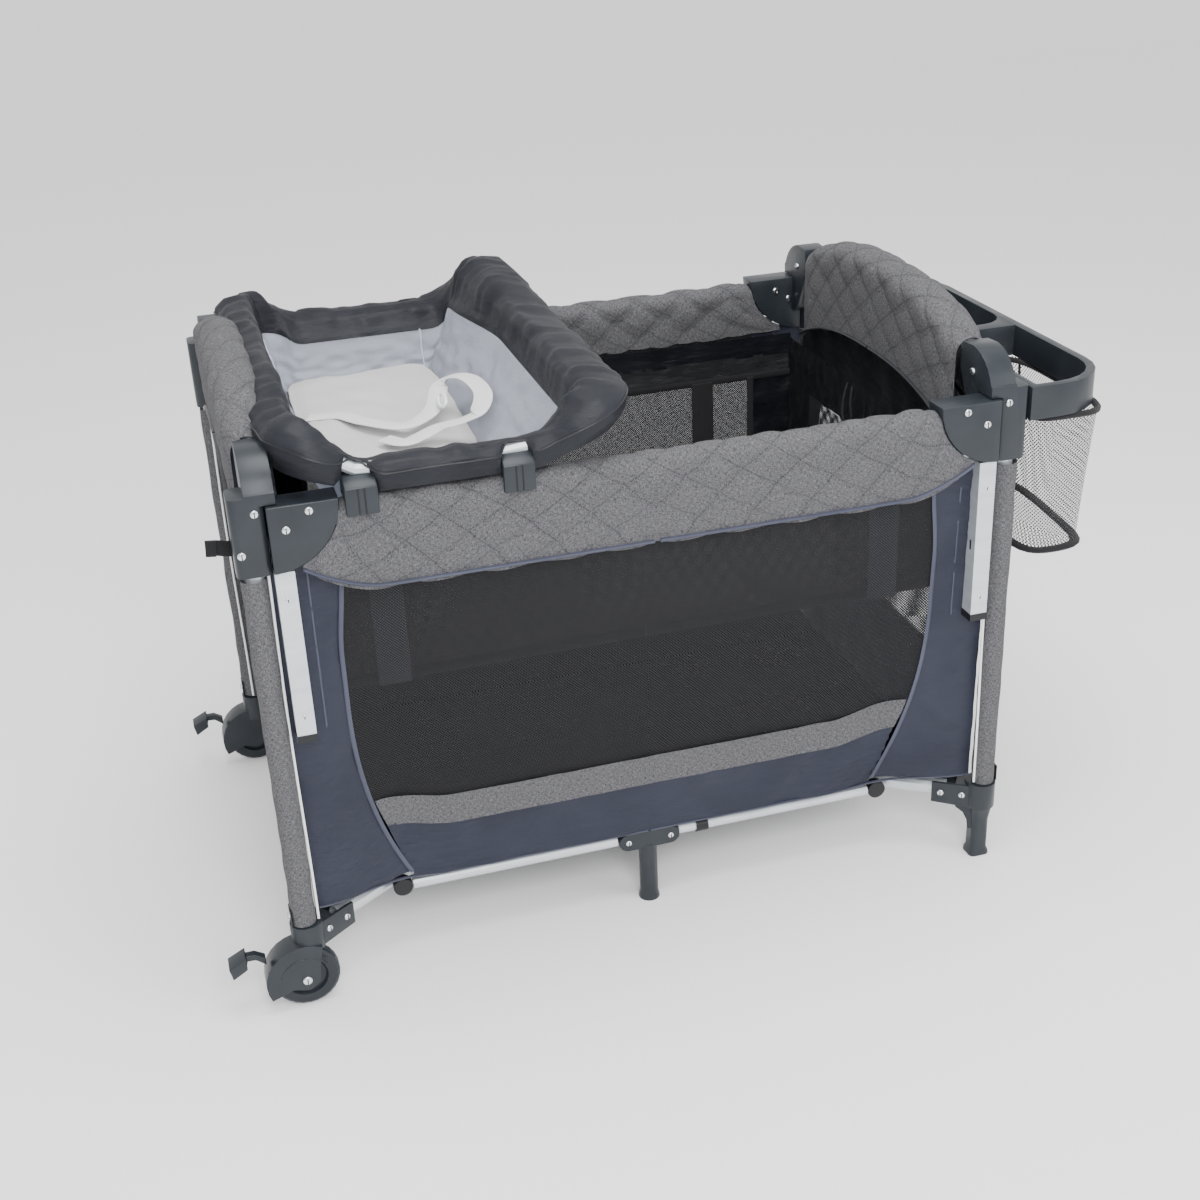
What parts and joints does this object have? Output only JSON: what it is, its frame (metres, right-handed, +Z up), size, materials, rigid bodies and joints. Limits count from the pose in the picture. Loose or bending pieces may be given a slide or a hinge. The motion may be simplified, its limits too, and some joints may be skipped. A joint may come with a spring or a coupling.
{
  "type": "travel play yard",
  "caption": "Folding travel play yard with mesh fabric walls, drop side, bassinet insert, lift-off changing table and a side organizer, on two braked casters.",
  "frame": {"origin": "middle of the floor, at the flat bottom of the centre hub's foot", "axes": "+X along the long sides towards the organizer end, the drop side at -Y, +Z up"},
  "size_m": [1.253, 0.722, 0.825],
  "materials": {
    "grey_plastic": "satin dark slate grey",
    "black_plastic": "satin black",
    "steel": "silver paint, satin",
    "tyre": "hard dark caster wheel, satin",
    "melange": "quilted grey melange, matt",
    "dark_fabric": "slate nylon panels and black mesh",
    "black_fabric": "black mesh and webbing",
    "light_fabric": "light blue-grey nylon"
  },
  "bodies": {
    "post_front_left": {"post_front_left": "steel", "corner_hub_front_left": "grey_plastic", "foot_bracket_front_left": "grey_plastic"},
    "post_front_right": {"post_front_right": "steel", "corner_hub_front_right": "grey_plastic", "foot_bracket_front_right": "grey_plastic"},
    "post_rear_left": {"post_rear_left": "steel", "corner_hub_rear_left": "grey_plastic", "foot_bracket_rear_left": "grey_plastic"},
    "post_rear_right": {"post_rear_right": "steel", "corner_hub_rear_right": "grey_plastic", "foot_bracket_rear_right": "grey_plastic"},
    "floor_arm_front_left": {"floor_arm_front_left": "steel"},
    "floor_centre": {"floor_hub": "black_plastic", "fabric_enclosure": "dark_fabric", "bassinet_insert": "black_fabric", "mattress": "melange"},
    "floor_arm_front_right": {"floor_arm_front_right": "steel"},
    "floor_arm_rear_right": {"floor_arm_rear_right": "steel"},
    "floor_arm_rear_left": {"floor_arm_rear_left": "steel"},
    "knuckle_front_left": {"knuckle_front_left": "black_plastic"},
    "knuckle_front_right": {"knuckle_front_right": "black_plastic"},
    "knuckle_rear_left": {"knuckle_rear_left": "black_plastic"},
    "knuckle_rear_right": {"knuckle_rear_right": "black_plastic"},
    "base_bar_front_left": {"base_bar_front_left": "steel"},
    "centre_foot_front": {"centre_foot_front": "grey_plastic"},
    "base_bar_front_right": {"base_bar_front_right": "steel"},
    "base_bar_rear_left": {"base_bar_rear_left": "steel"},
    "centre_foot_rear": {"centre_foot_rear": "grey_plastic"},
    "base_bar_rear_right": {"base_bar_rear_right": "steel"},
    "drop_left": {"drop_bracket_left": "grey_plastic", "drop_channel_left": "steel"},
    "drop_right": {"drop_bracket_right": "grey_plastic", "drop_channel_right": "steel"},
    "top_rail_front_left": {"top_rail_front_left": "steel"},
    "rail_latch_front": {"rail_latch_front": "black_plastic", "rail_cover_front": "melange"},
    "top_rail_front_right": {"top_rail_front_right": "steel"},
    "top_rail_rear_left": {"top_rail_rear_left": "steel"},
    "rail_latch_rear": {"rail_latch_rear": "black_plastic", "rail_cover_rear": "melange"},
    "top_rail_rear_right": {"top_rail_rear_right": "steel"},
    "end_rail_left_front": {"end_rail_left_front": "steel"},
    "rail_latch_left": {"rail_latch_left": "black_plastic", "rail_cover_left": "melange"},
    "end_rail_left_rear": {"end_rail_left_rear": "steel"},
    "end_rail_right_front": {"end_rail_right_front": "steel"},
    "rail_latch_right": {"rail_latch_right": "black_plastic", "rail_cover_right": "melange"},
    "end_rail_right_rear": {"end_rail_right_rear": "steel"},
    "caster_wheel_front": {"caster_wheel_front_left": "tyre"},
    "brake_pedal_front": {"brake_pedal_front_left": "grey_plastic"},
    "caster_wheel_rear": {"caster_wheel_rear_left": "tyre"},
    "brake_pedal_rear": {"brake_pedal_rear_left": "grey_plastic"},
    "changer": {"changer_frame": "steel", "changer_tub": "light_fabric", "changer_pad": "light_fabric"},
    "organizer": {"organizer_tray": "grey_plastic", "organizer_pocket": "black_fabric"}
  },
  "joints": [
    {"name": "fold", "type": "hinge", "parent": "post_front_left", "child": "floor_arm_front_left", "pos_m": [-0.45499, -0.30149, 0.105], "axis": [0.5524, -0.8336, 0], "range_deg": [0, 80], "deforming": ["fabric_enclosure", "bassinet_insert", "mattress", "rail_cover_front", "rail_cover_rear", "rail_cover_left", "rail_cover_right"]},
    {"name": "hub_pin_front_left", "type": "hinge", "parent": "floor_arm_front_left", "child": "floor_centre", "pos_m": [-0.04585, -0.03038, 0.105], "axis": [0.5524, -0.8336, 0], "range_deg": [-80, 0]},
    {"name": "hub_pin_front_right", "type": "hinge", "parent": "floor_centre", "child": "floor_arm_front_right", "pos_m": [0.04585, -0.03038, 0.105], "axis": [0.5524, 0.8336, 0], "range_deg": [0, 80]},
    {"name": "foot_pin_front_right", "type": "hinge", "parent": "floor_arm_front_right", "child": "post_front_right", "pos_m": [0.45499, -0.30149, 0.105], "axis": [0.5524, 0.8336, 0], "range_deg": [-80, 0]},
    {"name": "hub_pin_rear_right", "type": "hinge", "parent": "floor_centre", "child": "floor_arm_rear_right", "pos_m": [0.04585, 0.03038, 0.105], "axis": [-0.5524, 0.8336, 0], "range_deg": [0, 80]},
    {"name": "foot_pin_rear_right", "type": "hinge", "parent": "floor_arm_rear_right", "child": "post_rear_right", "pos_m": [0.45499, 0.30149, 0.105], "axis": [-0.5524, 0.8336, 0], "range_deg": [-80, 0]},
    {"name": "hub_pin_rear_left", "type": "hinge", "parent": "floor_centre", "child": "floor_arm_rear_left", "pos_m": [-0.04585, 0.03038, 0.105], "axis": [-0.5524, -0.8336, 0], "range_deg": [0, 80]},
    {"name": "foot_pin_rear_left", "type": "hinge", "parent": "floor_arm_rear_left", "child": "post_rear_left", "pos_m": [-0.45499, 0.30149, 0.105], "axis": [-0.5524, -0.8336, 0], "range_deg": [-80, 0]},
    {"name": "knuckle_pin_front_left", "type": "hinge", "parent": "floor_arm_front_left", "child": "knuckle_front_left", "pos_m": [-0.36996, -0.24515, 0.105], "axis": [0.5524, -0.8336, 0], "range_deg": [-80, 0]},
    {"name": "knuckle_pin_front_right", "type": "hinge", "parent": "floor_arm_front_right", "child": "knuckle_front_right", "pos_m": [0.36996, -0.24515, 0.105], "axis": [0.5524, 0.8336, 0], "range_deg": [-80, 0]},
    {"name": "knuckle_pin_rear_left", "type": "hinge", "parent": "floor_arm_rear_left", "child": "knuckle_rear_left", "pos_m": [-0.36996, 0.24515, 0.105], "axis": [-0.5524, -0.8336, 0], "range_deg": [-80, 0]},
    {"name": "knuckle_pin_rear_right", "type": "hinge", "parent": "floor_arm_rear_right", "child": "knuckle_rear_right", "pos_m": [0.36996, 0.24515, 0.105], "axis": [-0.5524, 0.8336, 0], "range_deg": [-80, 0]},
    {"name": "bar_outer_pin_front_left", "type": "hinge", "parent": "knuckle_front_left", "child": "base_bar_front_left", "pos_m": [-0.3556, -0.26682, 0.105], "axis": [0, -1, 0], "range_deg": [0, 80]},
    {"name": "bar_inner_pin_front_left", "type": "hinge", "parent": "base_bar_front_left", "child": "centre_foot_front", "pos_m": [-0.03149, -0.26682, 0.105], "axis": [0, -1, 0], "range_deg": [-80, 0]},
    {"name": "bar_inner_pin_front_right", "type": "hinge", "parent": "centre_foot_front", "child": "base_bar_front_right", "pos_m": [0.03149, -0.26682, 0.105], "axis": [0, 1, 0], "range_deg": [0, 80]},
    {"name": "bar_outer_pin_rear_left", "type": "hinge", "parent": "knuckle_rear_left", "child": "base_bar_rear_left", "pos_m": [-0.3556, 0.26682, 0.105], "axis": [0, -1, 0], "range_deg": [0, 80]},
    {"name": "bar_inner_pin_rear_left", "type": "hinge", "parent": "base_bar_rear_left", "child": "centre_foot_rear", "pos_m": [-0.03149, 0.26682, 0.105], "axis": [0, -1, 0], "range_deg": [-80, 0]},
    {"name": "bar_inner_pin_rear_right", "type": "hinge", "parent": "centre_foot_rear", "child": "base_bar_rear_right", "pos_m": [0.03149, 0.26682, 0.105], "axis": [0, 1, 0], "range_deg": [0, 80]},
    {"name": "drop_side", "type": "slide", "parent": "post_front_left", "child": "drop_left", "axis": [0, 0, -1], "range_m": [0, 0.2], "deforming": ["fabric_enclosure"]},
    {"name": "drop_side_right", "type": "slide", "parent": "post_front_right", "child": "drop_right", "axis": [0, 0, -1], "range_m": [0, 0.2], "deforming": ["fabric_enclosure"]},
    {"name": "rail_corner_pin_front_left", "type": "hinge", "parent": "drop_left", "child": "top_rail_front_left", "pos_m": [-0.433, -0.335, 0.695], "axis": [0, 1, 0], "range_deg": [0, 80]},
    {"name": "rail_latch_pin_front_left", "type": "hinge", "parent": "top_rail_front_left", "child": "rail_latch_front", "pos_m": [-0.02386, -0.335, 0.695], "axis": [0, 1, 0], "range_deg": [-80, 0]},
    {"name": "rail_latch_pin_front_right", "type": "hinge", "parent": "rail_latch_front", "child": "top_rail_front_right", "pos_m": [0.02386, -0.335, 0.695], "axis": [0, -1, 0], "range_deg": [0, 80]},
    {"name": "rail_corner_pin_rear_left", "type": "hinge", "parent": "post_rear_left", "child": "top_rail_rear_left", "pos_m": [-0.433, 0.335, 0.695], "axis": [0, 1, 0], "range_deg": [0, 80]},
    {"name": "rail_latch_pin_rear_left", "type": "hinge", "parent": "top_rail_rear_left", "child": "rail_latch_rear", "pos_m": [-0.02386, 0.335, 0.695], "axis": [0, 1, 0], "range_deg": [-80, 0]},
    {"name": "rail_latch_pin_rear_right", "type": "hinge", "parent": "rail_latch_rear", "child": "top_rail_rear_right", "pos_m": [0.02386, 0.335, 0.695], "axis": [0, -1, 0], "range_deg": [0, 80]},
    {"name": "end_rail_corner_pin_left", "type": "hinge", "parent": "post_front_left", "child": "end_rail_left_front", "pos_m": [-0.478, -0.288, 0.74], "axis": [-1, 0, 0], "range_deg": [0, 80]},
    {"name": "end_rail_latch_pin_left_front", "type": "hinge", "parent": "end_rail_left_front", "child": "rail_latch_left", "pos_m": [-0.478, -0.01689, 0.74], "axis": [-1, 0, 0], "range_deg": [-80, 0]},
    {"name": "end_rail_latch_pin_left_rear", "type": "hinge", "parent": "rail_latch_left", "child": "end_rail_left_rear", "pos_m": [-0.478, 0.01689, 0.74], "axis": [1, 0, 0], "range_deg": [0, 80]},
    {"name": "end_rail_corner_pin_right", "type": "hinge", "parent": "post_front_right", "child": "end_rail_right_front", "pos_m": [0.478, -0.288, 0.74], "axis": [-1, 0, 0], "range_deg": [0, 80]},
    {"name": "end_rail_latch_pin_right_front", "type": "hinge", "parent": "end_rail_right_front", "child": "rail_latch_right", "pos_m": [0.478, -0.01689, 0.74], "axis": [-1, 0, 0], "range_deg": [-80, 0]},
    {"name": "end_rail_latch_pin_right_rear", "type": "hinge", "parent": "rail_latch_right", "child": "end_rail_right_rear", "pos_m": [0.478, 0.01689, 0.74], "axis": [1, 0, 0], "range_deg": [0, 80]},
    {"name": "wheel_spin_front", "type": "hinge", "parent": "post_front_left", "child": "caster_wheel_front", "pos_m": [-0.505, -0.334, 0.0455], "axis": [0, 1, 0], "continuous": true},
    {"name": "brake_front", "type": "hinge", "parent": "post_front_left", "child": "brake_pedal_front", "pos_m": [-0.55497, -0.334, 0.08049], "axis": [0, -1, 0], "range_deg": [0, 20]},
    {"name": "wheel_spin_rear", "type": "hinge", "parent": "post_rear_left", "child": "caster_wheel_rear", "pos_m": [-0.505, 0.334, 0.0455], "axis": [0, 1, 0], "continuous": true},
    {"name": "brake_rear", "type": "hinge", "parent": "post_rear_left", "child": "brake_pedal_rear", "pos_m": [-0.55497, 0.334, 0.08049], "axis": [0, -1, 0], "range_deg": [0, 20]},
    {"name": "changer_lift", "type": "slide", "parent": "floor_centre", "child": "changer", "axis": [0, 0, 1], "range_m": [0, 0.3]},
    {"name": "organizer_lift", "type": "slide", "parent": "post_front_right", "child": "organizer", "axis": [0, 0, 1], "range_m": [0, 0.25]}
  ],
  "couplings": [
    {"joint": "hub_pin_front_left", "follows": "fold", "ratio": -1},
    {"joint": "hub_pin_front_right", "follows": "fold", "ratio": 1},
    {"joint": "foot_pin_front_right", "follows": "fold", "ratio": -1},
    {"joint": "hub_pin_rear_right", "follows": "fold", "ratio": 1},
    {"joint": "foot_pin_rear_right", "follows": "fold", "ratio": -1},
    {"joint": "hub_pin_rear_left", "follows": "fold", "ratio": 1},
    {"joint": "foot_pin_rear_left", "follows": "fold", "ratio": -1},
    {"joint": "knuckle_pin_front_left", "follows": "fold", "ratio": -1},
    {"joint": "knuckle_pin_front_right", "follows": "fold", "ratio": -1},
    {"joint": "knuckle_pin_rear_left", "follows": "fold", "ratio": -1},
    {"joint": "knuckle_pin_rear_right", "follows": "fold", "ratio": -1},
    {"joint": "bar_outer_pin_front_left", "follows": "fold", "ratio": 1},
    {"joint": "bar_inner_pin_front_left", "follows": "fold", "ratio": -1},
    {"joint": "bar_inner_pin_front_right", "follows": "fold", "ratio": 1},
    {"joint": "bar_outer_pin_rear_left", "follows": "fold", "ratio": 1},
    {"joint": "bar_inner_pin_rear_left", "follows": "fold", "ratio": -1},
    {"joint": "bar_inner_pin_rear_right", "follows": "fold", "ratio": 1},
    {"joint": "drop_side_right", "follows": "drop_side", "ratio": 1},
    {"joint": "rail_corner_pin_front_left", "follows": "fold", "ratio": 1},
    {"joint": "rail_latch_pin_front_left", "follows": "fold", "ratio": -1},
    {"joint": "rail_latch_pin_front_right", "follows": "fold", "ratio": 1},
    {"joint": "rail_corner_pin_rear_left", "follows": "fold", "ratio": 1},
    {"joint": "rail_latch_pin_rear_left", "follows": "fold", "ratio": -1},
    {"joint": "rail_latch_pin_rear_right", "follows": "fold", "ratio": 1},
    {"joint": "end_rail_corner_pin_left", "follows": "fold", "ratio": 1},
    {"joint": "end_rail_latch_pin_left_front", "follows": "fold", "ratio": -1},
    {"joint": "end_rail_latch_pin_left_rear", "follows": "fold", "ratio": 1},
    {"joint": "end_rail_corner_pin_right", "follows": "fold", "ratio": 1},
    {"joint": "end_rail_latch_pin_right_front", "follows": "fold", "ratio": -1},
    {"joint": "end_rail_latch_pin_right_rear", "follows": "fold", "ratio": 1}
  ]
}
